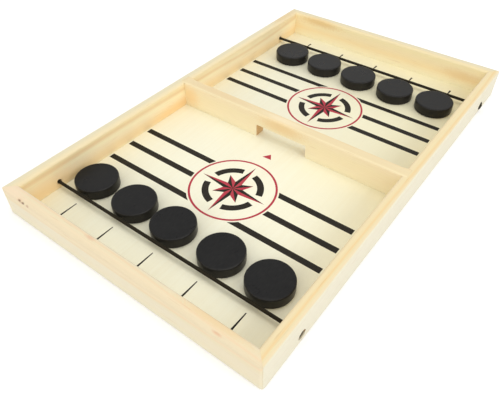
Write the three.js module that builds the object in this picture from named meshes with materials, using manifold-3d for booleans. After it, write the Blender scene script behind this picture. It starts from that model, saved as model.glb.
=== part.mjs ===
// Sling puck board game: a shallow wooden tray split by a wall with a low gate.
// An elastic cord crosses each half, and five pucks lie in front of each cord.
// Millimetres, +Z up. X runs across the board and Y along it, from the near end at -Y.

import * as THREE from 'three';
import { mergeVertices } from 'three/addons/utils/BufferGeometryUtils.js';
import Module from 'manifold-3d';

const wasm = await Module();
wasm.setup();

// Whole board, over the frame
const BOARD_LENGTH = 350;
const BOARD_WIDTH = 215;
const FRAME_HEIGHT = 23;

// Clearances: glued or seated faces, and how far a cutter overruns what it cuts
const JOINT_GAP = 0.3;
const CUT_OVERRUN = 2;

// Frame rails: planed strips, mitred at the corners
const RAIL_THICKNESS = 8.5;
const RAIL_TOP_ROUND = 1.9;
const RAIL_FOOT_ROUND = 1;
const CORNER_ROUND = 2.6;

// Floor panel, let into a rebate along the foot of every rail
const PANEL_THICKNESS = 1.5;
const PANEL_SEAT = 4.2;
const PANEL_CORNER_ROUND = 0.8;

// Dividing wall: its ends sit in grooves across the side rails
const DIVIDER_THICKNESS = 9.2;
const DIVIDER_TOP_ROUND = 1.3;
const DIVIDER_SEAT = 3.8;

// Gate: the low slot in the dividing wall that one puck fits through
const GATE_WIDTH = 46;
const GATE_HEIGHT = 10.8;
const GATE_CORNER_ROUND = 0.8;

// Angle nails driven into the underside across each mitre
const NAIL_INSET = 2.3;
const NAIL_LEG = 4.4;
const NAIL_THICKNESS = 0.6;
const NAIL_HEIGHT = 7;
const NAIL_SINK = 0.4;

// Elastic cords: each passes a hole in both side rails and is knotted outside it
const CORD_DIAMETER = 2.4;
const CORD_ABOVE_FLOOR = 4.7;
const CORD_TO_END_RAIL = 27.9;
const CORD_HOLE_CLEARANCE = 0.65;
const KNOT_BORE_DIAMETER = 7;
const KNOT_BORE_DEPTH = 4.4;
const NEAR_KNOT_RECESS = 1.5;
const FAR_KNOT_RECESS = 0.3;
const CORD_TAIL_SHARE = 0.9;

// Outline of a knot: shares of its length along the cord and of its radius out from it
const KNOT_SHARES = [
  { along: 0, out: 0.8 },
  { along: 0.2, out: 1 },
  { along: 0.4, out: 0.86 },
  { along: 0.6, out: 1 },
  { along: 0.8, out: 0.8 },
];

// Pucks: turned discs with a rounded rim
const PUCK_DIAMETER = 31.4;
const PUCK_THICKNESS = 8.5;
const PUCK_RIM_ROUND = 1.1;

// Puck places at rest, from the left. The row leaves part of the floor's width spare:
// left is the share of it that lies to the left of a puck. clear is the puck's distance
// from the cord behind it, past the joint gap, as a share of its own diameter.
const NEAR_PUCK_SHARES = [
  { left: 0.12, clear: 0 },
  { left: 0.29, clear: 0 },
  { left: 0.406, clear: 0 },
  { left: 0.624, clear: 0.012 },
  { left: 0.757, clear: 0.024 },
];
const FAR_PUCK_SHARES = [
  { left: 0.312, clear: 0.094 },
  { left: 0.426, clear: 0.082 },
  { left: 0.555, clear: 0.133 },
  { left: 0.686, clear: 0.152 },
  { left: 0.793, clear: 0.111 },
];

// Fineness of the curved forms, in faces
const ARC_FACES = 4;
const CORD_SIDES = 8;
const CORD_STEP_DIAMETERS = 2.5;
const HOLE_SIDES = 20;
const PUCK_SIDES = 40;
const RIM_FACES = 3;

// Sizes worked out from those above
const rebateWidth = PANEL_SEAT + JOINT_GAP;
const rebateHeight = PANEL_THICKNESS + JOINT_GAP;
const floorWidth = BOARD_WIDTH - 2 * RAIL_THICKNESS;
const floorLength = BOARD_LENGTH - 2 * RAIL_THICKNESS;
const grooveDepth = DIVIDER_SEAT + JOINT_GAP;
const cordRadius = CORD_DIAMETER / 2;
const cordHeight = PANEL_THICKNESS + CORD_ABOVE_FLOOR;
const cordFromMiddle = floorLength / 2 - CORD_TO_END_RAIL;
const puckRadius = PUCK_DIAMETER / 2;
const puckBottom = PANEL_THICKNESS + JOINT_GAP;

const X = new THREE.Vector3(1, 0, 0);
const Y = new THREE.Vector3(0, 1, 0);
const Z = new THREE.Vector3(0, 0, 1);

// An outline drawn in X and Z and extruded along Y
const alongBoard = new THREE.Matrix4().makeBasis(X, Z, Y.clone().negate());

// An outline drawn in Y and Z and extruded along X
const acrossBoard = new THREE.Matrix4().makeBasis(Y, Z, X);

// A form turned about Y, laid with its axis along X
const turnedAcross = new THREE.Matrix4().makeBasis(Z.clone().negate(), X, Y.clone().negate());

const materials = {
  sideRail: { color: 0xeedcab, roughness: 0.6, metalness: 0 },
  endRail: { color: 0xf0dfc0, roughness: 0.6, metalness: 0 },
  panel: { color: 0xf4ecce, roughness: 0.65, metalness: 0 },
  divider: { color: 0xf2dfac, roughness: 0.6, metalness: 0 },
  cord: { color: 0x2b221d, roughness: 0.85, metalness: 0 },
  puck: { color: 0x2d2d2d, roughness: 0.45, metalness: 0 },
  nail: { color: 0x9a9894, roughness: 0.4, metalness: 0.9 },
};

const board = new THREE.Group();
board.name = 'sling_puck_board';

function addPiece(name, geometry, finish, place, turn = 0) {
  const mesh = new THREE.Mesh(geometry, new THREE.MeshStandardMaterial(materials[finish]));
  mesh.name = name;
  mesh.position.set(place.x, place.y, place.z);
  mesh.rotation.z = turn;
  board.add(mesh);
}

function solidOf(geometry) {
  const bare = geometry.clone();
  bare.deleteAttribute('normal');
  bare.deleteAttribute('uv');
  const welded = mergeVertices(bare);
  return new wasm.Manifold(new wasm.Mesh({
    numProp: 3,
    vertProperties: new Float32Array(welded.attributes.position.array),
    triVerts: new Uint32Array(welded.index.array),
  }));
}

function geometryOf(solid) {
  const mesh = solid.getMesh();
  const geometry = new THREE.BufferGeometry();
  geometry.setAttribute('position', new THREE.BufferAttribute(mesh.vertProperties, 3));
  geometry.setIndex(new THREE.BufferAttribute(mesh.triVerts, 1));
  geometry.computeVertexNormals();
  return geometry;
}

function subtractAll(solid, cutters) {
  return cutters.reduce((left, cutter) => left.subtract(solidOf(cutter)), solid);
}

function extrude(shape, depth) {
  return new THREE.ExtrudeGeometry(shape, {
    depth,
    steps: 1,
    bevelEnabled: false,
    curveSegments: ARC_FACES,
  });
}

// A rectangle about the origin with equally rounded corners
function roundedRectangle(width, length, round) {
  const right = width / 2 - round;
  const top = length / 2 - round;
  const shape = new THREE.Shape();
  shape.absarc(right, top, round, 0, Math.PI / 2);
  shape.absarc(-right, top, round, Math.PI / 2, Math.PI);
  shape.absarc(-right, -top, round, Math.PI, Math.PI * 1.5);
  shape.absarc(right, -top, round, Math.PI * 1.5, Math.PI * 2);
  shape.closePath();
  return shape;
}

// Rail section, drawn inward from the outer face and up from the table
function railSection() {
  const crown = FRAME_HEIGHT - RAIL_TOP_ROUND;
  const shape = new THREE.Shape();
  shape.absarc(RAIL_FOOT_ROUND, RAIL_FOOT_ROUND, RAIL_FOOT_ROUND, Math.PI, Math.PI * 1.5);
  shape.lineTo(RAIL_THICKNESS - rebateWidth, 0);
  shape.lineTo(RAIL_THICKNESS - rebateWidth, rebateHeight);
  shape.lineTo(RAIL_THICKNESS, rebateHeight);
  shape.absarc(RAIL_THICKNESS - RAIL_TOP_ROUND, crown, RAIL_TOP_ROUND, 0, Math.PI / 2);
  shape.absarc(RAIL_TOP_ROUND, crown, RAIL_TOP_ROUND, Math.PI / 2, Math.PI);
  shape.closePath();
  return shape;
}

// A rail with its outer face on X = 0 and its middle on Y = 0, mitred at both ends
function mitredRail(length, otherLength) {
  const half = length / 2;
  const backOff = JOINT_GAP / Math.SQRT2;
  const blank = extrude(railSection(), length).applyMatrix4(alongBoard).translate(0, half, 0);
  const points = blank.attributes.position;
  for (let i = 0; i < points.count; i += 1) {
    const reach = half - points.getX(i) - backOff;
    points.setY(i, Math.sign(points.getY(i)) * reach);
  }
  const outline = extrude(
    roundedRectangle(otherLength, length, CORNER_ROUND),
    FRAME_HEIGHT + 2 * CUT_OVERRUN,
  ).translate(otherLength / 2, 0, -CUT_OVERRUN);
  const nailSlot = extrude(nailOutline(JOINT_GAP), CUT_OVERRUN + NAIL_SINK + NAIL_HEIGHT + JOINT_GAP);
  const nearSlot = nailSlot.clone().translate(0, -half, -CUT_OVERRUN);
  const farSlot = nailSlot.clone().rotateZ(-Math.PI / 2).translate(0, half, -CUT_OVERRUN);
  return subtractAll(solidOf(blank).intersect(solidOf(outline)), [nearSlot, farSlot]);
}

// Angle nail seen from above, its bend towards the outer corner at the origin
function nailOutline(grown) {
  const outer = NAIL_INSET - grown;
  const inner = NAIL_INSET + NAIL_THICKNESS + grown;
  const tip = NAIL_INSET + NAIL_LEG + grown;
  return new THREE.Shape([
    new THREE.Vector2(outer, outer),
    new THREE.Vector2(tip, outer),
    new THREE.Vector2(tip, inner),
    new THREE.Vector2(inner, inner),
    new THREE.Vector2(inner, tip),
    new THREE.Vector2(outer, tip),
  ]);
}

// Stepped hole for a cord and its knot, from the rail's outer face inward along X
function cordHoleCutter(along) {
  const boreRadius = KNOT_BORE_DIAMETER / 2;
  const holeRadius = cordRadius + CORD_HOLE_CLEARANCE;
  const profile = [
    new THREE.Vector2(0, -CUT_OVERRUN),
    new THREE.Vector2(boreRadius, -CUT_OVERRUN),
    new THREE.Vector2(boreRadius, KNOT_BORE_DEPTH),
    new THREE.Vector2(holeRadius, KNOT_BORE_DEPTH),
    new THREE.Vector2(holeRadius, RAIL_THICKNESS + CUT_OVERRUN),
    new THREE.Vector2(0, RAIL_THICKNESS + CUT_OVERRUN),
  ];
  return new THREE.LatheGeometry(profile, HOLE_SIDES)
    .applyMatrix4(turnedAcross)
    .translate(0, along, cordHeight);
}

// Side rail: the groove for the dividing wall and one stepped hole for each cord
function sideRail() {
  const groove = new THREE.BoxGeometry(
    grooveDepth + CUT_OVERRUN,
    DIVIDER_THICKNESS + 2 * JOINT_GAP,
    FRAME_HEIGHT + 2 * CUT_OVERRUN,
  ).translate(
    RAIL_THICKNESS + (CUT_OVERRUN - grooveDepth) / 2,
    0,
    FRAME_HEIGHT / 2,
  );
  const blank = mitredRail(BOARD_LENGTH, BOARD_WIDTH);
  const holes = [-cordFromMiddle, cordFromMiddle].map(cordHoleCutter);
  return geometryOf(subtractAll(blank, [groove, ...holes]));
}

function endRail() {
  return geometryOf(mitredRail(BOARD_WIDTH, BOARD_LENGTH));
}

// Dividing wall with its rounded top edges, cut away below for the gate
function gateDivider() {
  const length = floorWidth + 2 * DIVIDER_SEAT;
  const half = DIVIDER_THICKNESS / 2;
  const bottom = PANEL_THICKNESS + JOINT_GAP;
  const crown = FRAME_HEIGHT - DIVIDER_TOP_ROUND;
  const section = new THREE.Shape();
  section.moveTo(-half, bottom);
  section.lineTo(half, bottom);
  section.absarc(half - DIVIDER_TOP_ROUND, crown, DIVIDER_TOP_ROUND, 0, Math.PI / 2);
  section.absarc(DIVIDER_TOP_ROUND - half, crown, DIVIDER_TOP_ROUND, Math.PI / 2, Math.PI);
  section.closePath();
  const wall = extrude(section, length).applyMatrix4(acrossBoard).translate(-length / 2, 0, 0);

  const side = GATE_WIDTH / 2;
  const lintel = PANEL_THICKNESS + GATE_HEIGHT;
  const slot = new THREE.Shape();
  slot.moveTo(-side, bottom - CUT_OVERRUN);
  slot.lineTo(side, bottom - CUT_OVERRUN);
  slot.absarc(side - GATE_CORNER_ROUND, lintel - GATE_CORNER_ROUND, GATE_CORNER_ROUND, 0, Math.PI / 2);
  slot.absarc(GATE_CORNER_ROUND - side, lintel - GATE_CORNER_ROUND, GATE_CORNER_ROUND,
    Math.PI / 2, Math.PI);
  slot.closePath();
  const gate = extrude(slot, DIVIDER_THICKNESS + 2 * CUT_OVERRUN)
    .applyMatrix4(alongBoard)
    .translate(0, half + CUT_OVERRUN, 0);
  return geometryOf(solidOf(wall).subtract(solidOf(gate)));
}

// The cord between the two side rails, drawn tight along X
function cordSpan() {
  const reach = floorWidth / 2 - JOINT_GAP;
  const route = new THREE.LineCurve3(
    new THREE.Vector3(-reach, 0, 0),
    new THREE.Vector3(reach, 0, 0),
  );
  const ring = Array.from({ length: CORD_SIDES }, (_, i) => {
    const angle = (2 * Math.PI * i) / CORD_SIDES;
    return new THREE.Vector2(cordRadius * Math.cos(angle), cordRadius * Math.sin(angle));
  });
  return new THREE.ExtrudeGeometry(new THREE.Shape(ring), {
    extrudePath: route,
    steps: Math.round((2 * reach) / (CORD_STEP_DIAMETERS * CORD_DIAMETER)),
    bevelEnabled: false,
  });
}

// The cord's end in a side rail: the run through the hole and the knot in its bore.
// It starts at the rail's inner face, on X = 0, and the knot's tail lies outward along X.
function cordEnd(recess) {
  const shoulder = RAIL_THICKNESS - KNOT_BORE_DEPTH + JOINT_GAP;
  const tail = RAIL_THICKNESS - recess;
  const knotRadius = KNOT_BORE_DIAMETER / 2 - JOINT_GAP;
  const knotLength = tail - shoulder;
  const tailRadius = cordRadius * CORD_TAIL_SHARE;
  const profile = [
    new THREE.Vector2(0, 0),
    new THREE.Vector2(cordRadius, 0),
    new THREE.Vector2(cordRadius, shoulder),
    ...KNOT_SHARES.map(({ along, out }) => (
      new THREE.Vector2(knotRadius * out, shoulder + knotLength * along)
    )),
    new THREE.Vector2(tailRadius, shoulder + knotLength * KNOT_SHARES.at(-1).along),
    new THREE.Vector2(tailRadius, tail),
    new THREE.Vector2(0, tail),
  ];
  return new THREE.LatheGeometry(profile, HOLE_SIDES).applyMatrix4(turnedAcross);
}

function puck() {
  const rim = [];
  for (let i = 0; i <= RIM_FACES; i += 1) {
    const angle = (Math.PI / 2) * (i / RIM_FACES);
    rim.push(new THREE.Vector2(
      puckRadius - PUCK_RIM_ROUND * (1 - Math.sin(angle)),
      PUCK_RIM_ROUND * (1 - Math.cos(angle)),
    ));
  }
  const upperRim = rim.map((point) => new THREE.Vector2(point.x, PUCK_THICKNESS - point.y)).reverse();
  const profile = [
    new THREE.Vector2(0, 0),
    ...rim,
    ...upperRim,
    new THREE.Vector2(0, PUCK_THICKNESS),
  ];
  return new THREE.LatheGeometry(profile, PUCK_SIDES).rotateX(Math.PI / 2);
}

// Frame
const halfWidth = BOARD_WIDTH / 2;
const halfLength = BOARD_LENGTH / 2;
addPiece('left_rail', sideRail(), 'sideRail', { x: -halfWidth, y: 0, z: 0 });
addPiece('right_rail', sideRail(), 'sideRail', { x: halfWidth, y: 0, z: 0 }, Math.PI);
addPiece('near_end_rail', endRail(), 'endRail', { x: 0, y: -halfLength, z: 0 }, Math.PI / 2);
addPiece('far_end_rail', endRail(), 'endRail', { x: 0, y: halfLength, z: 0 }, -Math.PI / 2);

// Corner fastenings, one quarter turn further at each corner
const corners = [
  { name: 'near_left', x: -halfWidth, y: -halfLength },
  { name: 'near_right', x: halfWidth, y: -halfLength },
  { name: 'far_right', x: halfWidth, y: halfLength },
  { name: 'far_left', x: -halfWidth, y: halfLength },
];
corners.forEach((corner, i) => {
  const nail = extrude(nailOutline(0), NAIL_HEIGHT);
  const place = { x: corner.x, y: corner.y, z: NAIL_SINK };
  addPiece(`corner_nail_${corner.name}`, nail, 'nail', place, (i * Math.PI) / 2);
});

// Floor and dividing wall
const panelOutline = roundedRectangle(
  floorWidth + 2 * PANEL_SEAT,
  floorLength + 2 * PANEL_SEAT,
  PANEL_CORNER_ROUND,
);
addPiece('floor_panel', extrude(panelOutline, PANEL_THICKNESS), 'panel', { x: 0, y: 0, z: 0 });
addPiece('gate_divider', gateDivider(), 'divider', { x: 0, y: 0, z: 0 });

// Cords and pucks, the pucks numbered from the left on both sides
const sides = [
  { side: 'near', towards: -1, recess: NEAR_KNOT_RECESS, places: NEAR_PUCK_SHARES },
  { side: 'far', towards: 1, recess: FAR_KNOT_RECESS, places: FAR_PUCK_SHARES },
];
for (const { side, towards, recess, places } of sides) {
  const y = towards * cordFromMiddle;
  const right = floorWidth / 2;
  addPiece(`${side}_cord_span`, cordSpan(), 'cord', { x: 0, y, z: cordHeight });
  addPiece(`${side}_cord_left_end`, cordEnd(recess), 'cord', { x: -right, y, z: cordHeight }, Math.PI);
  addPiece(`${side}_cord_right_end`, cordEnd(recess), 'cord', { x: right, y, z: cordHeight });

  const spareWidth = floorWidth - places.length * PUCK_DIAMETER;
  places.forEach(({ left, clear }, i) => {
    const fromCord = cordRadius + JOINT_GAP + clear * PUCK_DIAMETER + puckRadius;
    const place = {
      x: left * spareWidth + i * PUCK_DIAMETER + puckRadius - right,
      y: towards * (cordFromMiddle - fromCord),
      z: puckBottom,
    };
    addPiece(`${side}_puck_${i + 1}`, puck(), 'puck', place);
  });
}

export default board;
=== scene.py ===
import math

import bmesh
import bpy
import numpy as np
from mathutils import Matrix, Vector, noise


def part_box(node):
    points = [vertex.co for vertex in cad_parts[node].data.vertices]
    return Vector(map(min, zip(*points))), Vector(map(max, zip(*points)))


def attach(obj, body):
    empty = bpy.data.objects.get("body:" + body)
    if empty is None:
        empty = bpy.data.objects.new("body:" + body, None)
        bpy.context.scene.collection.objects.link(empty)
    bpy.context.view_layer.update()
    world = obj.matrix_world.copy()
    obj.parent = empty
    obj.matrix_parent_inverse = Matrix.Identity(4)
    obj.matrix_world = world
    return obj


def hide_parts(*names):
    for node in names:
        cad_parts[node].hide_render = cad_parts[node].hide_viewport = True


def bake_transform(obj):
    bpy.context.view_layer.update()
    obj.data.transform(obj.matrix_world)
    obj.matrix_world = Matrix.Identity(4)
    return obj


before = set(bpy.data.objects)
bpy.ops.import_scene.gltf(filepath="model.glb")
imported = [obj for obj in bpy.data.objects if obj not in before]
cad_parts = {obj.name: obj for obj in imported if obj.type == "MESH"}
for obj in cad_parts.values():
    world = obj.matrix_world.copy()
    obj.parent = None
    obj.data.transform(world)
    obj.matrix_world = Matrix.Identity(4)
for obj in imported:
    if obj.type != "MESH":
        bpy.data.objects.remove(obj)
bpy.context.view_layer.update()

# Sizes in metres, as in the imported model. The woods' tables and the print are in millimetres.
MM = 0.001
WIDTH = 215 * MM
LENGTH = 350 * MM
HEIGHT = 23 * MM
RAIL = 8.5 * MM
INNER_X = WIDTH / 2 - RAIL
INNER_Y = LENGTH / 2 - RAIL
TOP_ROUND = 1.9 * MM
FOOT_ROUND = 1.0 * MM
CORNER_ROUND = 2.6 * MM
FLOOR = 1.5 * MM
PANEL_SEAT = 4.2 * MM
WALL = 9.2 * MM
WALL_ROUND = 1.3 * MM
WALL_SEAT = 3.8 * MM
GATE_WIDTH = 46 * MM
GATE_HEIGHT = 10.8 * MM
GATE_ROUND = 0.8 * MM
CORD_Y = 138.6 * MM
CORD_Z = 6.2 * MM
CORD_R = 1.2 * MM
HOLE_R = 1.85 * MM
BORE_R = 3.5 * MM
BORE_DEPTH = 4.4 * MM
PUCK_R = 15.7 * MM
PUCK_T = 8.5 * MM
NAIL_INSET = 2.3 * MM
NAIL_LEG = 4.4 * MM
NAIL_THICKNESS = 0.6 * MM
NAIL_TOP = 7.5 * MM

# The gap between glued faces, and how far a cutter reaches past what it cuts
SEAM = 0.02 * MM
OVERRUN = 2 * MM

# Degrees between two faces from which their edge looks sharp, for wood, pucks and cords, and from which it is
# eased
SHARP_ANGLE = 35
PUCK_SHARP_ANGLE = 50
CORD_SHARP_ANGLE = 60
EASED_ANGLE = 38

# Points round a hole, a puck, a cord and a knot's strand, and along the wall, half a cord and a knot
HOLE_SIDES = 40
PUCK_SIDES = 96
CORD_SIDES = 20
STRAND_SIDES = 14
WALL_STEPS = 36
CORD_STEPS = 140
KNOT_STEPS = 144


def linear(r, g, b):
    """sRGB bytes as a linear colour."""
    def one(c):
        c /= 255
        return c / 12.92 if c <= 0.04045 else ((c + 0.055) / 1.055) ** 2.4
    return (one(r), one(g), one(b), 1.0)


class Nodes:
    """A node tree, written as expressions."""

    def __init__(self, tree):
        self.tree = tree

    def node(self, kind, inputs=(), **settings):
        made = self.tree.nodes.new(kind)
        for key, value in settings.items():
            setattr(made, key, value)
        for key, value in dict(inputs).items():
            self.put(made.inputs[key], value)
        return made

    def put(self, socket, value):
        if isinstance(value, bpy.types.NodeSocket):
            self.tree.links.new(value, socket)
        else:
            socket.default_value = value

    def math(self, operation, *values, clamp=False):
        made = self.node("ShaderNodeMath", operation=operation, use_clamp=clamp)
        for socket, value in zip(made.inputs, values):
            self.put(socket, value)
        return made.outputs[0]

    def vector(self, operation, *values):
        made = self.node("ShaderNodeVectorMath", operation=operation)
        for socket, value in zip(made.inputs, values):
            self.put(socket, value)
        return made.outputs["Value" if operation in ("DOT_PRODUCT", "LENGTH") else "Vector"]

    def remap(self, value, low, high, to_low=0.0, to_high=1.0, smooth=False):
        return self.node("ShaderNodeMapRange", {
            "Value": value, "From Min": low, "From Max": high, "To Min": to_low, "To Max": to_high,
        }, interpolation_type="SMOOTHSTEP" if smooth else "LINEAR").outputs[0]

    def bell(self, value):
        return self.math("POWER", math.e, self.math("MULTIPLY", self.math("MULTIPLY", value, value), -1.0))

    def ramp(self, value, stops):
        made = self.node("ShaderNodeValToRGB", {"Fac": value})
        elements = made.color_ramp.elements
        elements.remove(elements[-1])
        elements[0].position, elements[0].color = stops[0]
        for position, color in stops[1:]:
            elements.new(position).color = color
        return made.outputs[0]

    def curve(self, value, spots):
        """A smooth line through spots, which go from 0 to 1."""
        made = self.node("ShaderNodeFloatCurve", {"Value": value})
        points = made.mapping.curves[0].points
        points[0].location, points[-1].location = spots[0], spots[-1]
        for spot in spots[1:-1]:
            points.new(*spot)
        made.mapping.update()
        return made.outputs[0]

    def mix(self, factor, a, b):
        made = self.node("ShaderNodeMix", data_type="RGBA")
        for index, value in ((0, factor), (6, a), (7, b)):
            self.put(made.inputs[index], value)
        return made.outputs[2]

    def bump(self, height, strength, distance):
        return self.node("ShaderNodeBump", {
            "Height": height, "Strength": strength, "Distance": distance,
        }).outputs[0]


class Shader(Nodes):
    """A material of nodes, with the coordinates of the piece that carries it."""

    def __init__(self, name):
        self.material = bpy.data.materials.new(name)
        self.material.use_nodes = True
        super().__init__(self.material.node_tree)
        self.tree.nodes.clear()
        coords = self.tree.nodes.new("ShaderNodeTexCoord")
        self.place = coords.outputs["Object"]
        self.uv = coords.outputs["UV"]
        self.facing = coords.outputs["Normal"]

    def noise(self, scale, offset=(0, 0, 0), detail=3.0, roughness=0.5):
        """Noise between 0 and 1. scale is one number, or one for each axis."""
        if not isinstance(scale, (tuple, list)):
            scale = (scale, scale, scale)
        mapped = self.node("ShaderNodeMapping", {"Vector": self.place, "Scale": scale, "Location": offset})
        return self.node("ShaderNodeTexNoise", {
            "Vector": mapped.outputs[0], "Scale": 1.0, "Detail": detail, "Roughness": roughness,
        }).outputs["Fac"]

    def finish(self, **inputs):
        surface = self.node("ShaderNodeBsdfPrincipled", {k.replace("_", " "): v for k, v in inputs.items()})
        self.node("ShaderNodeOutputMaterial", {"Surface": surface.outputs[0]})
        return self.material


# Pine: the depth of wood that a ramp of colours spans and the quick wander of its rings, in millimetres, and
# the pace of the rings, in radians to the millimetre
RAMP_DEPTH = 32.0
QUICK_WANDER = 0.9
RING_PACE = 4.3
LATE_WOOD = (222, 176, 118)
BLUSH = (242, 210, 164)
FIBRES = (214, 176, 124)
PORES = (196, 150, 100)
END_GRAIN_PALE, END_GRAIN_DEEP = (222, 180, 122), (184, 132, 78)


def pine(name, along, layer, stops, seed, lines=0.12, wander=2.5, late=LATE_WOOD, bands=(), stains_and_painted_light=()):
    """Planed pine with a thin varnish, its grain along one axis. layer is the direction in which the year rings
    follow each other and the millimetre where they start; stops give the colours at depths after that. wander
    is how far the rings stray, and lines how strongly their late wood shows. A band is a streak that runs along
    the board: its depths at places along it, its width, colour and strength. A soft spot is a stain or mark in
    the wood, or, where noted, a patch of painted light or shade: its place, its reach, its colour and strength."""
    s = Shader(name)

    def grained(scale, offset, stretch=0.03, **more):
        return s.noise([scale * stretch if axis == along else scale for axis in range(3)], offset, **more)

    slow = grained(60, (seed, seed * 1.7, 0), detail=2.0)
    quick = grained(420, (seed * 2.3, 0, seed), detail=4.0, roughness=0.6)
    fibre = grained(2600, (seed, seed, seed), roughness=0.65)
    *direction, start = layer
    depth = s.math("ADD", s.vector("DOT_PRODUCT", s.place, [c / MM for c in direction]), start)
    for cloud, reach in ((slow, wander), (quick, QUICK_WANDER)):
        depth = s.math("ADD", depth, s.math("MULTIPLY", s.math("SUBTRACT", cloud, 0.5), reach))
    color = s.ramp(s.math("DIVIDE", depth, RAMP_DEPTH), [(at / RAMP_DEPTH, linear(*rgb)) for at, rgb in stops])

    wave = s.math("SINE", s.math("MULTIPLY", depth, RING_PACE))
    ring = s.math("POWER", s.math("MULTIPLY", s.math("ADD", wave, 1.0), 0.5), 5.0)
    broken = s.remap(grained(90, (seed * 4, 2, 1), detail=2.0), 0.35, 0.65, 0.25, 1.0)
    color = s.mix(s.math("MULTIPLY", s.math("MULTIPLY", ring, broken), lines), color, linear(*late))

    length = s.node("ShaderNodeSeparateXYZ", {"Vector": s.place}).outputs[along]
    for number, (places, width, rgb, strength) in enumerate(bands):
        low, high = places[0][0], places[-1][0]
        spots = [((at - low) / (high - low), middle / RAMP_DEPTH) for at, middle in places]
        line = s.curve(s.remap(length, low * MM, high * MM), spots)
        off = s.math("SUBTRACT", depth, s.math("MULTIPLY", line, RAMP_DEPTH))
        patchy = s.remap(grained(110, (seed * 3, number, 2), detail=2.0), 0.3, 0.65, 0.6, 1.0)
        share = s.math("MULTIPLY", s.bell(s.math("DIVIDE", off, width)), s.math("MULTIPLY", patchy, strength))
        color = s.mix(share, color, linear(*rgb))

    blush = s.remap(grained(45, (seed * 6, 5, 3)), 0.52, 0.72, 0.0, 0.3, smooth=True)
    color = s.mix(blush, color, linear(*BLUSH))
    color = s.mix(s.remap(fibre, 0.40, 0.75, 0.0, 0.12), color, linear(*FIBRES))
    pores = s.remap(grained(1100, (seed * 5, 2, 7), stretch=0.05, detail=1.0), 0.69, 0.77, 0.0, 0.2)
    color = s.mix(pores, color, linear(*PORES))

    uneven = s.remap(s.noise(700, (seed, 1, 1), detail=2.0), 0.2, 0.8, 0.65, 1.35)
    for spot, reach, rgb, strength in stains_and_painted_light:
        away = s.vector("SUBTRACT", s.place, [v * MM for v in spot])
        away = s.vector("LENGTH", s.vector("DIVIDE", away, [v * MM for v in reach]))
        share = s.remap(s.math("MULTIPLY", away, uneven), 0.15, 1.0, strength, 0.0, smooth=True)
        color = s.mix(share, color, linear(*rgb))

    axis = [float(i == along) for i in range(3)]
    across = s.math("ABSOLUTE", s.vector("DOT_PRODUCT", s.facing, axis))
    dots = s.noise(1400, (seed, 9, 3), detail=2.0)
    end_grain = s.mix(dots, linear(*END_GRAIN_PALE), linear(*END_GRAIN_DEEP))
    color = s.mix(s.remap(across, 0.86, 0.99, 0.0, 0.8, smooth=True), color, end_grain)

    handled = s.noise(22, (seed, 4, 4))
    roughness = s.math("ADD", s.remap(handled, 0.3, 0.7, 0.46, 0.6), s.remap(fibre, 0.3, 0.7, -0.03, 0.06))
    dents = s.remap(s.noise(260, (seed, 6, 1), detail=1.0), 0.66, 0.8, 0.0, -0.5)
    height = s.math("ADD", s.math("MULTIPLY", fibre, 0.5), s.math("MULTIPLY", ring, -0.3))
    return s.finish(Base_Color=color, Roughness=roughness, Specular_IOR_Level=0.2,
                    Normal=s.bump(s.math("ADD", height, dents), 0.35, 0.12 * MM))


def veneer_fibre(s):
    """The veneer's fibres, which the ink on it follows too."""
    return s.noise((2400, 60, 2400), (5, 5, 5), roughness=0.6)


def veneer():
    """The floor: a thin pale face veneer, sealed, with very quiet grain along the board. Its colour gets a
    little deeper towards the right and the far end."""
    s = Shader("panel_veneer")
    slow = s.noise((30, 2.0, 30), (3, 1, 0), roughness=0.55)
    quick = s.noise((420, 9, 420), (1, 8, 0), detail=4.0, roughness=0.6)
    fibre = veneer_fibre(s)
    color = s.ramp(slow, [(0.25, linear(247, 245, 222)), (0.5, linear(246, 243, 219)),
                          (0.75, linear(245, 240, 214))])
    color = s.mix(s.remap(quick, 0.4, 0.8, 0.0, 0.2), color, linear(236, 224, 186))
    color = s.mix(s.remap(fibre, 0.4, 0.8, 0.0, 0.10), color, linear(226, 210, 168))
    towards = s.vector("DOT_PRODUCT", s.place, (1.0, 0.6, 0))
    color = s.mix(s.remap(towards, -0.03, 0.12, 0.0, 0.7, smooth=True), color, linear(240, 232, 194))
    flecks = s.remap(s.noise((700, 60, 700), (2, 7, 1), detail=1.0), 0.72, 0.80, 0.0, 0.12)
    color = s.mix(flecks, color, linear(212, 188, 140))
    rubbed = s.noise((26, 10, 26), (9, 2, 2), detail=4.0)
    roughness = s.math("ADD", s.remap(rubbed, 0.3, 0.7, 0.40, 0.52), s.remap(fibre, 0.3, 0.7, -0.02, 0.04))
    return s.finish(Base_Color=color, Roughness=roughness, Specular_IOR_Level=0.2,
                    Normal=s.bump(s.math("ADD", fibre, s.math("MULTIPLY", quick, 0.6)), 0.2, 0.06 * MM))


def ink(name, rgb, worn):
    """Screen-printed ink: it follows the veneer's fibres and is a little rubbed by the pucks."""
    s = Shader(name)
    fibre = veneer_fibre(s)
    cloud = s.noise((150, 60, 150), (1, 3, 0), detail=4.0, roughness=0.6)
    color = s.mix(s.remap(fibre, 0.45, 0.8, 0.0, 0.2), linear(*rgb), linear(*worn))
    color = s.mix(s.remap(cloud, 0.5, 0.8, 0.0, 0.2), color, linear(*worn))
    return s.finish(Base_Color=color, Roughness=s.remap(cloud, 0.3, 0.7, 0.46, 0.6), Specular_IOR_Level=0.15,
                    Normal=s.bump(s.math("ADD", fibre, s.math("MULTIPLY", cloud, 0.4)), 0.2, 0.05 * MM))


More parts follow.
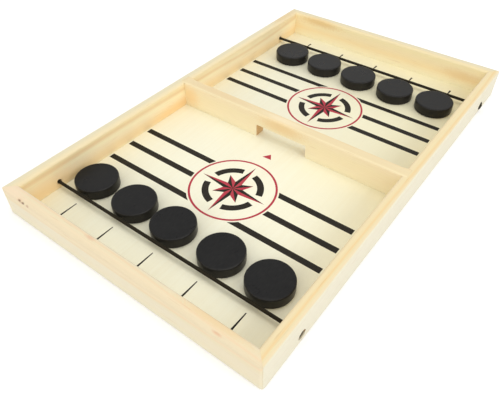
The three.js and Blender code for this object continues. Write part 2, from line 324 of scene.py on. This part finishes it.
def lacquer():
    """Charcoal satin lacquer on turned wood: orange peel, scuffs along the board, sides painted browner and
    lighter as a reflection of the pale floor, and a rim band of rubbed wear and painted highlight."""
    s = Shader("puck_lacquer")
    peel = s.noise(700)
    scuffs = s.noise((1800, 220, 900), (3, 0, 1), detail=4.0, roughness=0.7)
    cloud = s.noise(70, (2, 5, 1), detail=4.0, roughness=0.6)
    color = s.ramp(cloud, [(0.3, linear(15, 15, 16)), (0.7, linear(21, 21, 21))])
    color = s.mix(s.remap(scuffs, 0.58, 0.85, 0.0, 0.25), color, linear(54, 52, 50))
    # Painted reflection: the sides, which face the pale floor, are made browner and lighter.
    up = s.math("ABSOLUTE", s.vector("DOT_PRODUCT", s.facing, (0, 0, 1)))
    color = s.mix(s.remap(up, 0.1, 0.6, 0.8, 0.0), color, linear(40, 38, 33))
    # The rim band: partly rubbed wear, partly a painted highlight along the rounded edge.
    rim = s.bell(s.math("DIVIDE", s.math("SUBTRACT", up, 0.75), 0.2))
    rubbed = s.math("MULTIPLY", rim, s.remap(scuffs, 0.4, 0.7, 0.1, 0.5))
    color = s.mix(rubbed, color, linear(78, 75, 71))
    roughness = s.math("ADD", s.remap(cloud, 0.3, 0.7, 0.26, 0.34), s.remap(scuffs, 0.5, 0.8, 0.0, 0.18))
    return s.finish(Base_Color=color, Roughness=roughness, Specular_IOR_Level=0.15,
                    Normal=s.bump(s.math("ADD", peel, s.math("MULTIPLY", scuffs, 0.6)), 0.22, 0.12 * MM))


def braid():
    """Woven cover of the elastic cord, drawn in turns round it and lengths along it."""
    s = Shader("cord_braid")
    parts = s.node("ShaderNodeSeparateXYZ", {"Vector": s.uv})
    around, length = parts.outputs[0], parts.outputs[1]
    one = s.math("SINE", s.math("MULTIPLY", s.math("ADD", length, around), 2 * math.pi))
    other = s.math("SINE", s.math("MULTIPLY", s.math("SUBTRACT", length, around), 2 * math.pi))
    over = s.math("MULTIPLY", one, s.math("SIGN", other))
    under = s.math("MULTIPLY", other, s.math("MULTIPLY", s.math("SIGN", one), -1.0))
    weave = s.math("MAXIMUM", over, under)
    yarn = s.noise(5200, roughness=0.7)
    color = s.mix(s.remap(weave, -0.4, 0.9), linear(15, 13, 9), linear(47, 42, 32))
    color = s.mix(s.remap(yarn, 0.4, 0.8, 0.0, 0.5), color, linear(62, 56, 42))
    return s.finish(Base_Color=color, Roughness=s.remap(yarn, 0.3, 0.7, 0.72, 0.92), Specular_IOR_Level=0.12,
                    Normal=s.bump(s.math("ADD", weave, s.math("MULTIPLY", yarn, 0.4)), 0.8, 0.16 * MM))


def steel():
    """Bare steel strip of the corner nails, with drawn lines and a touch of tarnish."""
    s = Shader("nail_steel")
    drawn = s.noise((3000, 3000, 120))
    spots = s.noise(500, detail=4.0, roughness=0.7)
    color = s.mix(s.remap(spots, 0.5, 0.7), linear(176, 174, 170), linear(120, 98, 80))
    return s.finish(Base_Color=color, Metallic=1.0, Roughness=s.remap(spots, 0.3, 0.7, 0.28, 0.55),
                    Normal=s.bump(drawn, 0.3, 0.05 * MM))


def link(name, data):
    """Puts a mesh, lamp or camera into the scene."""
    made = bpy.data.objects.new(name, data)
    bpy.context.scene.collection.objects.link(made)
    return made


def add_object(name, vertices, faces, material=None, sharp=SHARP_ANGLE):
    """A mesh with its doubled points joined and its faces turned outward."""
    mesh = bpy.data.meshes.new(name)
    mesh.from_pydata([tuple(v) for v in vertices], [], [tuple(f) for f in faces])
    tidy = bmesh.new()
    tidy.from_mesh(mesh)
    bmesh.ops.remove_doubles(tidy, verts=tidy.verts, dist=1e-7)
    bmesh.ops.recalc_face_normals(tidy, faces=tidy.faces)
    tidy.to_mesh(mesh)
    tidy.free()
    if material:
        mesh.materials.append(material)
    made = link(name, mesh)
    soften(made, sharp)
    return made


def soften(made, angle):
    """Smooth shading, except over edges sharper than the angle."""
    made.data.polygons.foreach_set("use_smooth", [True] * len(made.data.polygons))
    made.data.set_sharp_from_angle(angle=math.radians(angle))


def apply_modifiers(made):
    bpy.context.view_layer.update()
    graph = bpy.context.evaluated_depsgraph_get()
    mesh = bpy.data.meshes.new_from_object(made.evaluated_get(graph))
    made.modifiers.clear()
    made.data = mesh
    soften(made, SHARP_ANGLE)


def cut(made, cutters):
    for tool in cutters:
        step = made.modifiers.new("cut", "BOOLEAN")
        step.operation = "DIFFERENCE"
        step.solver = "EXACT"
        step.object = tool
    apply_modifiers(made)
    for tool in cutters:
        bpy.data.objects.remove(tool)


def break_edges(made, width):
    """Rounds the sharp edges a little, as sanding does."""
    step = made.modifiers.new("ease", "BEVEL")
    step.width = width
    step.segments = 2
    step.limit_method = "ANGLE"
    step.angle_limit = math.radians(EASED_ANGLE)
    apply_modifiers(made)


def loft(sections, count):
    """Faces over sections of count points each, every section closed, with flat ends."""
    faces = []
    for i in range(sections - 1):
        for j in range(count):
            k = (j + 1) % count
            faces.append((i * count + j, i * count + k, (i + 1) * count + k, (i + 1) * count + j))
    last = (sections - 1) * count
    return faces + [tuple(range(count))[::-1], tuple(range(last, last + count))]


def arc(centre, radius, start, end, steps):
    angles = (math.radians(start + (end - start) * i / steps) for i in range(steps + 1))
    return [(centre[0] + radius * math.cos(a), centre[1] + radius * math.sin(a)) for a in angles]


def prism(outline, low, high):
    """Points and faces of an outline in X and Y, raised from low to high."""
    points = [Vector((x, y, z)) for z in (low, high) for x, y in outline]
    return points, loft(2, len(outline))


def turned(start, axis, profile, sides):
    """Points and faces of a turned form: profile holds its radii at distances along its axis."""
    turn = Vector(axis).to_track_quat("Z", "Y")
    points = []
    for distance, radius in profile:
        for j in range(sides):
            angle = 2 * math.pi * j / sides
            across = Vector((radius * math.cos(angle), radius * math.sin(angle), distance))
            points.append(Vector(start) + turn @ across)
    return points, loft(len(profile), sides)


def cutter(points, faces):
    return add_object("cutter", points, faces)


def rail_section():
    """Across a rail: along its foot from the outer face inward, up the inner face and back over the top."""
    side = [FLOOR + 7 * MM, FLOOR + 14 * MM]
    section = arc((FOOT_ROUND, FOOT_ROUND), FOOT_ROUND, 180, 270, 5)
    section += [(RAIL - PANEL_SEAT, 0), (RAIL - PANEL_SEAT, FLOOR + SEAM), (RAIL, FLOOR + SEAM)]
    section += [(RAIL, z) for z in side]
    section += arc((RAIL - TOP_ROUND, HEIGHT - TOP_ROUND), TOP_ROUND, 0, 90, 8)
    section += [(RAIL / 2, HEIGHT)]
    section += arc((TOP_ROUND, HEIGHT - TOP_ROUND), TOP_ROUND, 90, 180, 8)
    return section + [(0, z) for z in reversed(side)]


# Along a rail: the distance between its sections, with more of them at these millimetres from a mitre, and how
# far its top edges wander, except near its ends
RAIL_STEP = 6 * MM
MITRE_STEPS = (0.3, 0.6, 0.9, 1.3, 1.8, 2.4, 3.2, 4.4)
EDGE_WANDER = 0.12 * MM
EVEN_END = 8 * MM


def rail(name, length, quarter, material, cutters):
    """A mitred rail, a quarter turn further round the board each time. Its top edges are not quite even."""
    section = rail_section()
    half = length / 2
    mitre = CORNER_ROUND * (1 - math.sqrt(0.5))
    count = int(length / RAIL_STEP)
    close = [step * MM / length for step in MITRE_STEPS]
    shares = sorted([i / count for i in range(count + 1)] + close + [1 - share for share in close])
    points = []
    for share in shares:
        for u, z in section:
            reach = half - max(u, mitre) - SEAM
            y = -reach + 2 * reach * share
            past = abs(y) - (half - CORNER_ROUND)
            if past > 0:
                u = max(u, CORNER_ROUND - math.sqrt(CORNER_ROUND ** 2 - min(past, CORNER_ROUND) ** 2))
                y = math.copysign(min(abs(y), half - u - SEAM), y)
            rounding = z > HEIGHT - TOP_ROUND and 0.2 * MM < u < RAIL - 0.2 * MM
            if rounding and abs(y) < half - EVEN_END:
                inner = u > RAIL / 2
                wave = noise.noise(Vector((y * 38, z * 60, quarter * 3 + inner))) * EDGE_WANDER
                u += wave if inner else -wave
            points.append((u, y, z))
    spin = Matrix.Rotation(quarter * math.pi / 2, 4, "Z")
    outer = Vector((-(WIDTH if quarter % 2 == 0 else LENGTH) / 2, 0, 0))
    placed = [spin @ (Vector(p) + outer) for p in points]
    made = add_object(name, placed, loft(len(shares), len(section)), material)
    cut(made, cutters)
    return made


# In the photograph, the hole at the near left sits this much higher than the others
NEAR_LEFT_LIFT = 0.45 * MM


def cord_hole(side, y, lift=0.0):
    """The stepped hole of a cord, from outside the rail to inside it, with slightly broken mouths."""
    profile = [
        (-OVERRUN, BORE_R + 0.3 * MM), (0, BORE_R + 0.2 * MM), (0.25 * MM, BORE_R), (BORE_DEPTH, BORE_R),
        (BORE_DEPTH + 0.01 * MM, HOLE_R), (RAIL - 0.2 * MM, HOLE_R), (RAIL, HOLE_R + 0.15 * MM),
        (RAIL + OVERRUN, HOLE_R + 0.2 * MM),
    ]
    return cutter(*turned((side * WIDTH / 2, y, CORD_Z + lift), (-side, 0, 0), profile, HOLE_SIDES))


def nail_slot(side, end):
    """The slit of an angle nail across the mitre at one corner, seen on the underside."""
    near, inner, tip = NAIL_INSET - SEAM, NAIL_INSET + NAIL_THICKNESS + SEAM, NAIL_INSET + NAIL_LEG + SEAM
    outline = [(near, near), (tip, near), (tip, inner), (inner, inner), (inner, tip), (near, tip)]
    placed = [(side * (WIDTH / 2 - x), end * (LENGTH / 2 - y)) for x, y in outline]
    return cutter(*prism(placed, -OVERRUN, NAIL_TOP))


def side_cutters(side):
    """What is cut from a side rail: the wall's groove, two cord holes and two nail slits."""
    low, high = sorted((side * (INNER_X - OVERRUN), side * (INNER_X + WALL_SEAT + SEAM)))
    wide = WALL / 2 + SEAM
    outline = [(low, -wide), (high, -wide), (high, wide), (low, wide)]
    return [
        cutter(*prism(outline, -OVERRUN, HEIGHT + OVERRUN)),
        cord_hole(side, -CORD_Y, NEAR_LEFT_LIFT if side < 0 else 0.0),
        cord_hole(side, CORD_Y),
        nail_slot(side, -1),
        nail_slot(side, 1),
    ]


def end_cutters(end):
    return [nail_slot(-1, end), nail_slot(1, end)]


# The woods. The stops go over each piece's faces, from the outer ones inward, as the photograph shows them.
# They are partly the pine's own colour and partly painted light: faces that the lamps light strongly are set
# darker and greyer, and shaded faces paler.
left_wood = pine(
    "rail_pine_left", 1, (1, 0, -1, 107.5 + 23),
    # Left rail: its inner face, from 10.5 on, is set paler than its top: painted light on a shaded face.
    [(0.5, (244, 234, 208)), (2.5, (228, 220, 188)), (6, (238, 224, 185)), (8.5, (239, 223, 182)),
     (10.5, (248, 231, 188)), (16.5, (254, 242, 203)), (20, (253, 235, 195)), (24, (251, 228, 179)),
     (27, (247, 222, 173)), (30, (246, 230, 189))], 1.3,
    bands=[([(-175, 13.0), (-110, 12.6), (-40, 13.0), (30, 14.2), (90, 16.0), (175, 11.0)], 1.7,
            (232, 190, 128), 0.55)],
    stains_and_painted_light=[((-104, 152, 23), (7, 30, 8), (230, 204, 156), 0.8),
            # Deeper orange along the foot of the left rail's inner face, towards the wall.
            ((-99, -20, 4), (8, 40, 8), (250, 206, 142), 0.5),
            # Painted light: warm orange laid over the near end of the left rail's inner face, in place of its
            # grey corner shade.
            ((-99, -150, 7), (8, 40, 18), (252, 214, 156), 0.45)],
)
right_wood = pine(
    "rail_pine_right", 1, (-1, 0, 0, 107.5 + 1),
    # Right rail: its outer face, up to 1.3, is set greyer than its top and inner face: painted shade on the
    # face the side lamp lights.
    [(0.5, (235, 229, 207)), (1.3, (235, 229, 205)), (1.7, (235, 220, 184)), (2.2, (238, 219, 179)),
     (3.5, (237, 224, 183)), (6, (239, 222, 177)), (9.5, (240, 222, 182)), (11, (244, 226, 184))], 4.1,
    lines=0.08, wander=1.25,
    bands=[([(-175, 4.9), (-110, 4.7), (-60, 4.4), (0, 3.8), (70, 3.3), (130, 3.6), (175, 4.6)], 1.1,
            (240, 200, 132), 0.55)],
)
near_wood = pine(
    "rail_pine_near", 0, (0, 1, -1, 175 + 23),
    [(0.5, (232, 216, 182)), (3, (240, 222, 187)), (6, (236, 223, 188)), (9, (236, 226, 199)),
     (13, (237, 227, 200)), (18, (238, 228, 197)), (21, (235, 228, 204)), (23, (235, 226, 200))], 7.7,
    lines=0.08, late=(236, 196, 152),
    bands=[([(-107, 6.6), (0, 6.2), (60, 4.0), (107, 2.6)], 0.8, (240, 206, 164), 0.5)],
    stains_and_painted_light=[((-87.1, -174.8, 22.2), (4.6, 3.2, 3.2), (232, 194, 156), 0.5),
            ((-87.3, -174.8, 22.3), (2.2, 1.3, 1.3), (104, 66, 48), 0.9),
            ((-83.5, -174.9, 21.9), (2.4, 1.4, 1.4), (112, 70, 50), 0.85),
            ((-79.0, -174.9, 21.7), (2.2, 1.4, 1.4), (176, 122, 96), 0.5),
            ((77.4, -173.4, 23), (5, 1.2, 1.4), (224, 166, 126), 0.6),
            ((72, -168.5, 22.9), (38, 4, 4), (238, 204, 150), 0.6),
            ((-98, -171, 23), (18, 8, 6), (244, 220, 190), 0.6),
            ((-25, -169, 23), (6, 2, 2), (222, 166, 134), 0.4),
            ((90, -175, 12), (50, 8, 16), (236, 222, 190), 0.4)],
)
far_wood = pine(
    "rail_pine_far", 0, (0, -1, -1, 175 + 23),
    # Far rail: its inner face, from 11 on, is set much paler than its top: painted light on a shaded face.
    [(1, (230, 221, 192)), (2.5, (225, 216, 181)), (4, (231, 220, 186)), (5.5, (234, 219, 181)),
     (7, (237, 220, 175)), (11, (255, 240, 193)), (16, (255, 237, 193)), (21, (255, 233, 183)),
     (26, (255, 241, 201)), (30, (253, 244, 207))], 11.9, lines=0.08,
    stains_and_painted_light=[((-70, 166.5, 20), (34, 5, 6), (236, 198, 134), 0.7),
            ((78, 166.5, 12), (24, 5, 7), (240, 204, 144), 0.45)],
)
wall_wood = pine(
    "divider_pine", 0, (0, -1, -1, 4.6 + 23),
    # Wall: its faces, from 11 on, are set paler than its top: painted light on shaded faces.
    [(0.5, (239, 218, 173)), (3.5, (236, 218, 176)), (7, (236, 217, 173)), (8.5, (242, 226, 183)),
     (11, (251, 234, 197)), (16, (250, 235, 195)), (22, (250, 235, 197)), (30, (250, 239, 205))], 15.2,
    lines=0.07,
    stains_and_painted_light=[((-62, 0, 23), (46, 5, 5), (230, 204, 158), 0.65),
            ((0, 0, 23), (26, 5, 5), (247, 230, 194), 0.7),
            ((0, -4.6, 19), (30, 4, 8), (242, 210, 154), 0.75),
            # Painted shade: tan where the wall's near face meets the left rail.
            ((-92, -4.6, 12), (12, 6, 14), (250, 216, 160), 0.6)],
)
floor_wood = veneer()
black_ink = ink("ink_black", (34, 30, 24), (74, 66, 50))
red_ink = ink("ink_red", (180, 54, 70), (208, 124, 116))
cord_cover = braid()
puck_finish = lacquer()

rails = {
    "left_rail": rail("left_rail_pine", LENGTH, 0, left_wood, side_cutters(-1)),
    "near_end_rail": rail("near_end_rail_pine", WIDTH, 1, near_wood, end_cutters(-1)),
    "right_rail": rail("right_rail_pine", LENGTH, 2, right_wood, side_cutters(1)),
    "far_end_rail": rail("far_end_rail_pine", WIDTH, 3, far_wood, end_cutters(1)),
}
for node, made in rails.items():
    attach(made, "frame")
    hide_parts(node)


# The wall's top round runs out where the wall enters the rails, over these millimetres past a rail's face, down
# to this radius
RUN_OUT = (-2.4, -1.6, -0.8, 0, 0.4)
SEATED_ROUND = 0.15 * MM


def dividing_wall():
    """The wall, lofted across the board. Its rounded top ends square in the rails; the gate is cut from its
    foot."""
    half = WALL / 2
    bottom = FLOOR + SEAM
    reach = INNER_X + WALL_SEAT
    first, last = RUN_OUT[0] * MM, RUN_OUT[-1] * MM
    steps = [-reach + 2 * reach * i / WALL_STEPS for i in range(WALL_STEPS + 1)]
    steps += [side * (INNER_X + past * MM) for side in (-1, 1) for past in RUN_OUT]
    points = []
    for x in sorted(steps):
        seated = min(max((abs(x) - INNER_X - first) / (last - first), 0), 1)
        bend = WALL_ROUND * (1 - seated) + SEATED_ROUND * seated
        section = [(-half, bottom), (0, bottom), (half, bottom), (half, HEIGHT / 3), (half, HEIGHT * 2 / 3)]
        section += arc((half - bend, HEIGHT - bend), bend, 0, 90, 8) + [(0, HEIGHT)]
        section += arc((bend - half, HEIGHT - bend), bend, 90, 180, 8)
        section += [(-half, HEIGHT * 2 / 3), (-half, HEIGHT / 3)]
        points += [Vector((x, y, z)) for y, z in section]
    made = add_object("gate_divider_pine", points, loft(len(steps), len(section)), wall_wood)
    side, top = GATE_WIDTH / 2, FLOOR + GATE_HEIGHT
    outline = [(-side, bottom - OVERRUN), (side, bottom - OVERRUN)]
    outline += arc((side - GATE_ROUND, top - GATE_ROUND), GATE_ROUND, 0, 90, 5)
    outline += arc((GATE_ROUND - side, top - GATE_ROUND), GATE_ROUND, 90, 180, 5)
    slot = [Vector((x, y, z)) for y in (-half - OVERRUN, half + OVERRUN) for x, z in outline]
    cut(made, [cutter(slot, loft(2, len(outline)))])
    break_edges(made, 0.2 * MM)
    return made


wall = dividing_wall()
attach(wall, "frame")
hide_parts("gate_divider")

x_reach, y_reach = INNER_X + PANEL_SEAT - SEAM, INNER_Y + PANEL_SEAT - SEAM
panel_outline = [(-x_reach, -y_reach), (x_reach, -y_reach), (x_reach, y_reach), (-x_reach, y_reach)]
panel = add_object("floor_panel_veneer", *prism(panel_outline, 0.0, FLOOR), floor_wood)
break_edges(panel, 0.15 * MM)
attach(panel, "frame")
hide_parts("floor_panel")

# Print on the floor, in millimetres. The stripes and the gate mark are given for the far half.
PRINT_Z = FLOOR + 0.03 * MM
STRIPE_ENDS = (-97.7, 91.3)
STRIPES = ((49.0, 54.0), (69.1, 74.1), (89.4, 94.2))
EMBLEM_R, EMBLEM_LINE, EMBLEM_MARGIN = 32.4, 1.6, 1.2
DIAL_R, DIAL_LINE, DIAL_GAP = 22.5, 5.0, 14
LONG_RAY, SHORT_RAY, RAY_FOOT = 28.0, 15.0, 7.4
TICK_THIN, TICK_THICK = 0.35, 0.8
GATE_MARK = ((0.6, 17.4), (-3.3, 23.2), (4.2, 22.7))


def printed(name, outlines, material):
    """Flat ink shapes, each an outline in millimetres, a hair above the floor."""
    points, faces = [], []
    for outline in outlines:
        area = sum(a[0] * b[1] - b[0] * a[1] for a, b in zip(outline, outline[1:] + outline[:1]))
        ordered = outline if area > 0 else outline[::-1]
        faces.append(tuple(range(len(points), len(points) + len(outline))))
        points += [(x * MM, y * MM, PRINT_Z) for x, y in ordered]
    mesh = bpy.data.meshes.new(name)
    mesh.from_pydata(points, [], faces)
    mesh.materials.append(material)
    made = link(name, mesh)
    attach(made, "frame")


def ring(centre, outer, inner, start=0.0, end=360.0):
    """A ring or part of one, as short pieces."""
    steps = max(int((end - start) / 4), 2)
    outside, inside = arc(centre, outer, start, end, steps), arc(centre, inner, start, end, steps)
    return [[outside[i], outside[i + 1], inside[i + 1], inside[i]] for i in range(steps)]


def compass(centre, turn):
    """The two halves of the eight rays of a compass rose: long ones on the axes, short ones between."""
    dark, bright = [], []
    for k in range(8):
        spots = [(SHORT_RAY if k % 2 else LONG_RAY, 0), (RAY_FOOT, 22.5), (RAY_FOOT, -22.5)]
        tip, one, other = (
            (centre[0] + r * math.cos(math.radians(turn + 45 * k + a)),
             centre[1] + r * math.sin(math.radians(turn + 45 * k + a))) for r, a in spots
        )
        dark.append([centre, tip, one])
        bright.append([centre, other, tip])
    return dark, bright


def half_print(side, name, centre, ticks, tick_ends):
    """One player's half: three stripes that stop at a round emblem, aiming ticks and the gate mark."""
    clear = EMBLEM_R + EMBLEM_MARGIN
    stripes = []
    for low, high in STRIPES:
        rows = [side * (low + (high - low) * i / 6) for i in range(7)]
        bends = [math.sqrt(clear ** 2 - (y - centre[1]) ** 2) for y in rows]
        for sign, end in zip((-1, 1), STRIPE_ENDS):
            bent = [(centre[0] + sign * b, y) for b, y in zip(bends, rows)]
            stripes.append([(end, rows[0])] + bent + [(end, rows[-1])])
    printed(f"{name}_stripes", stripes, black_ink)
    dark, bright = compass(centre, 90 * -side)
    quarters = [(90 * k + DIAL_GAP, 90 * (k + 1) - DIAL_GAP) for k in range(4)]
    dial = [piece for start, end in quarters for piece in ring(centre, DIAL_R, DIAL_R - DIAL_LINE, start, end)]
    printed(f"{name}_emblem_ring", ring(centre, EMBLEM_R, EMBLEM_R - EMBLEM_LINE), red_ink)
    printed(f"{name}_emblem_dark", dark + dial, black_ink)
    printed(f"{name}_emblem_bright", bright, red_ink)
    thin, thick = (side * end for end in tick_ends)
    printed(f"{name}_ticks", [
        [(x - TICK_THIN, thin), (x + TICK_THIN, thin), (x + TICK_THICK, thick), (x - TICK_THICK, thick)]
        for x in ticks
    ], black_ink)
    printed(f"{name}_gate_mark", [[(x, side * y) for x, y in GATE_MARK]], red_ink)


half_print(-1, "near", (1.1, -65.5), (-76.3, -39.1, -1.8, 35.6, 72.9), (143.4, 161.0))
half_print(1, "far", (-0.3, 63.8), (-71.7, -34.2, 2.9, 39.4, 76.5), (143.6, 154.8))

# How often the braid's pattern repeats round a cord and in a millimetre of it
BRAID_ROUND = 6
BRAID_PER_MM = 0.5
# A knot: the radius of its strand, the turn of its lobes, and the shares of its radius that draw its dome
STRAND_R = 1.18 * MM
KNOT_TURN = math.radians(40)
DOME_SHARES = (0.3, 0.6, 0.8, 0.92, 0.98, 1)
# Each cord: its side of the middle, and how far its knots start inside the rail's outer face and how much they
# swell there, as the photograph shows them
CORDS = (("near", -1, 0.65 * MM, 0.5 * MM), ("far", 1, -1.2 * MM, 1.6 * MM))


def tube(name, route, radii, sides):
    """A round cord along a route, with its turns and length laid out for the braid."""
    route = [Vector(p) for p in route]
    points, lengths = [], [0.0]
    side = (route[1] - route[0]).orthogonal().normalized()
    for i, p in enumerate(route):
        ahead = (route[min(i + 1, len(route) - 1)] - route[max(i - 1, 0)]).normalized()
        side = (side - ahead * side.dot(ahead)).normalized()
        other = ahead.cross(side)
        if i:
            lengths.append(lengths[-1] + (p - route[i - 1]).length)
        for j in range(sides):
            angle = 2 * math.pi * j / sides
            points.append(p + side * (radii[i] * math.cos(angle)) + other * (radii[i] * math.sin(angle)))
    mesh = bpy.data.meshes.new(name)
    mesh.from_pydata([tuple(p) for p in points], [], loft(len(route), sides))
    layer = mesh.uv_layers.new(name="braid")
    for polygon in mesh.polygons[:-2]:
        for loop in polygon.loop_indices:
            row, column = divmod(mesh.loops[loop].vertex_index, sides)
            if column == 0 and polygon.index % sides == sides - 1:
                column = sides
            layer.data[loop].uv = (column / sides * BRAID_ROUND, lengths[row] / MM * BRAID_PER_MM)
    mesh.materials.append(cord_cover)
    made = link(name, mesh)
    soften(made, CORD_SHARP_ANGLE)
    return made


def knot(name, side, y, recess, dome):
    """A knot pulled tight into its bore: a three-lobed turn of the cord over the pressed, domed turns behind
    it. A recess below zero sets it outside the rail's face."""
    outer = side * (WIDTH / 2 - recess)
    deep = BORE_DEPTH - recess
    wide = (BORE_R - STRAND_R - 0.03 * MM) / 3
    swing = max(min(deep / 2 - STRAND_R, 0.5 * MM), 0.2 * MM)
    route = []
    for i in range(KNOT_STEPS + 1):
        t = 2 * math.pi * i / KNOT_STEPS
        across, up = math.sin(t) + 2 * math.sin(2 * t), math.cos(t) - 2 * math.cos(2 * t)
        route.append((
            outer - side * (STRAND_R + swing * (1 + math.sin(3 * t))),
            y + wide * (across * math.cos(KNOT_TURN) - up * math.sin(KNOT_TURN)),
            CORD_Z + wide * (across * math.sin(KNOT_TURN) + up * math.cos(KNOT_TURN)),
        ))
    turns = tube(f"{name}_turns", route, [STRAND_R] * len(route), STRAND_SIDES)
    full = BORE_R - 0.1 * MM
    swell = [0.04 * MM + dome * (1 - math.sqrt(1 - share ** 2)) for share in DOME_SHARES]
    pressed = [*zip(swell, DOME_SHARES), (deep - 0.3 * MM, 1.0), (deep - 0.1 * MM, 0.9)]
    core = tube(f"{name}_core", [(outer - side * d, y, CORD_Z) for d, _ in pressed],
                [full * share for _, share in pressed], CORD_SIDES)
    return [turns, core]


for name, towards, recess, dome in CORDS:
    y = towards * CORD_Y
    for word, side in (("left", -1), ("right", 1)):
        reach = INNER_X + RAIL - BORE_DEPTH
        route = [(side * reach * (1 - i / CORD_STEPS), y, CORD_Z) for i in range(CORD_STEPS + 1)]
        half = tube(f"{name}_cord_{word}_half", route, [CORD_R] * len(route), CORD_SIDES)
        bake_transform(half)
        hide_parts(f"{name}_cord_span")
        for made in knot(f"{name}_cord_{word}_knot", side, y, recess, dome):
            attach(made, "frame")
            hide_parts(f"{name}_cord_{word}_end")

# A puck: its rounded rim, the flat face inside that, how far its edge is worn, and its gap over the floor
RIM_ROUND = 1.1 * MM
FACE_R = PUCK_R - 2.2 * MM
PUCK_WEAR = 0.03 * MM
PUCK_LIFT = 0.05 * MM


def puck(name, centre, seed):
    """A turned disc: a faintly dished face, a rounded rim and a nearly straight side."""
    bend = np.linspace(0, math.pi / 2, 9)
    profile = [(0.0, PUCK_R * 0.02), (0.0, PUCK_R * 0.5), (0.0, FACE_R)]
    profile += [(RIM_ROUND * (1 - math.cos(a)), PUCK_R - RIM_ROUND * (1 - math.sin(a))) for a in bend]
    profile += [(PUCK_T / 2, PUCK_R)]
    profile += [(PUCK_T - RIM_ROUND * (1 - math.sin(a)), PUCK_R - RIM_ROUND * (1 - math.cos(a))) for a in bend]
    profile += [(PUCK_T - 0.02 * MM, FACE_R), (PUCK_T - 0.06 * MM, PUCK_R * 0.5),
                (PUCK_T - 0.07 * MM, PUCK_R * 0.02)]
    points, faces = turned(centre, (0, 0, 1), profile, PUCK_SIDES)
    uneven = []
    for p in points:
        out = p - Vector(centre)
        out.z = 0
        worn = abs(noise.noise(Vector((out.x * 130, out.y * 130, seed + p.z * 90)))) * PUCK_WEAR
        uneven.append(p - out.normalized() * worn if out.length > PUCK_R * 0.9 else p)
    return add_object(name, uneven, faces, puck_finish, PUCK_SHARP_ANGLE)


for i, node in enumerate(f"{side}_puck_{k}" for side in ("near", "far") for k in range(1, 6)):
    low, high = (Vector(corner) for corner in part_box(node))
    middle = (low + high) / 2
    made = puck(f"{node}_turned", (middle.x, middle.y, FLOOR + PUCK_LIFT), i)
    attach(made, f"{node}_body")
    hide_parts(node)

nail_finish = steel()
for node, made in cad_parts.items():
    if node.startswith("corner_nail"):
        made.data.materials.clear()
        made.data.materials.append(nail_finish)

# Stage, in metres: a white floor and surroundings, which the camera and mirrors see at full white. The floor
# itself adds less light near the board, so that its shadow stays.
STAGE_REACH = 3.0
SHADOW_RADIUS, WHITE_RADIUS = 0.4, 1.4
AMBIENT = 0.7


def seen_directly(shader):
    rays = shader.node("ShaderNodeLightPath").outputs
    seen = shader.math("ADD", rays["Is Camera Ray"], rays["Is Glossy Ray"])
    return shader.math("ADD", seen, rays["Is Transmission Ray"], clamp=True)


white = Shader("stage_white")
added = white.remap(white.vector("LENGTH", white.place), SHADOW_RADIUS, WHITE_RADIUS, 0.2, 1.0)
white.finish(
    Base_Color=(0.9, 0.9, 0.9, 1), Roughness=0.9, Specular_IOR_Level=0.0, Emission_Color=(1, 1, 1, 1),
    Emission_Strength=white.math("MULTIPLY", seen_directly(white), added),
)
stage = [(x * STAGE_REACH, y * STAGE_REACH) for x, y in ((-1, -1), (1, -1), (1, 1), (-1, 1))]
add_object("stage_floor", [(x, y, 0) for x, y in stage], [(0, 1, 2, 3)], white.material)

world = bpy.data.worlds.new("studio")
bpy.context.scene.world = world
world.use_nodes = True
sky = Nodes(world.node_tree)
background = world.node_tree.nodes["Background"]
background.inputs["Color"].default_value = (1, 1, 1, 1)
sky.put(background.inputs["Strength"], sky.remap(seen_directly(sky), 0.0, 1.0, AMBIENT, 1.0))


def softbox(name, place, width, height, power):
    """A lamp that faces the middle of the board. Metres and watts."""
    data = bpy.data.lights.new(name, "AREA")
    data.shape = "RECTANGLE"
    data.size, data.size_y = width, height
    data.energy = power
    made = link(name, data)
    made.location = place
    made.rotation_euler = (-Vector(place)).to_track_quat("-Z", "Y").to_euler()


softbox("side", (2.0, -0.2, 1.3), 1.8, 1.3, 15.5)
softbox("front", (-0.2, -2.4, 0.9), 2.0, 0.8, 12.0)
softbox("top", (0.0, 0.02, 0.8), 0.45, 0.45, 1.3)

# Camera at the photograph's place, found from the frame's corners and prints: its lens and shift in the
# photograph's pixels, its angles in degrees, and the point it looks past and its distance in board widths
PHOTO_WIDTH = 500
LENS_PX, SHIFT_PX = 514.4, (-0.2, 0.45)
AZIMUTH, ELEVATION, ROLL = 37.2225, 43.809, -0.1557
LOOKED_AT, DISTANCE = (-0.3684, 0.2831, -0.7143), 2.7224
SENSOR = 36.0

a, e, r = (math.radians(v) for v in (AZIMUTH, ELEVATION, ROLL))
back = Vector((math.sin(a) * math.cos(e), -math.cos(a) * math.cos(e), math.sin(e)))
level = Vector((math.cos(a), math.sin(a), 0))
upward = back.cross(level)
right_axis = level * math.cos(r) + upward * math.sin(r)
up_axis = -level * math.sin(r) + upward * math.cos(r)
camera = link("camera", bpy.data.cameras.new("camera"))
camera.data.sensor_fit = "HORIZONTAL"
camera.data.sensor_width = SENSOR
camera.data.lens = LENS_PX * SENSOR / PHOTO_WIDTH
camera.data.shift_x, camera.data.shift_y = (shift / PHOTO_WIDTH for shift in SHIFT_PX)
camera.data.clip_start = 0.01
pose = Matrix((right_axis, up_axis, back)).transposed().to_4x4()
pose.translation = (Vector(LOOKED_AT) + back * DISTANCE) * WIDTH
camera.matrix_world = pose
bpy.context.scene.camera = camera
bpy.context.scene.view_settings.view_transform = "Standard"
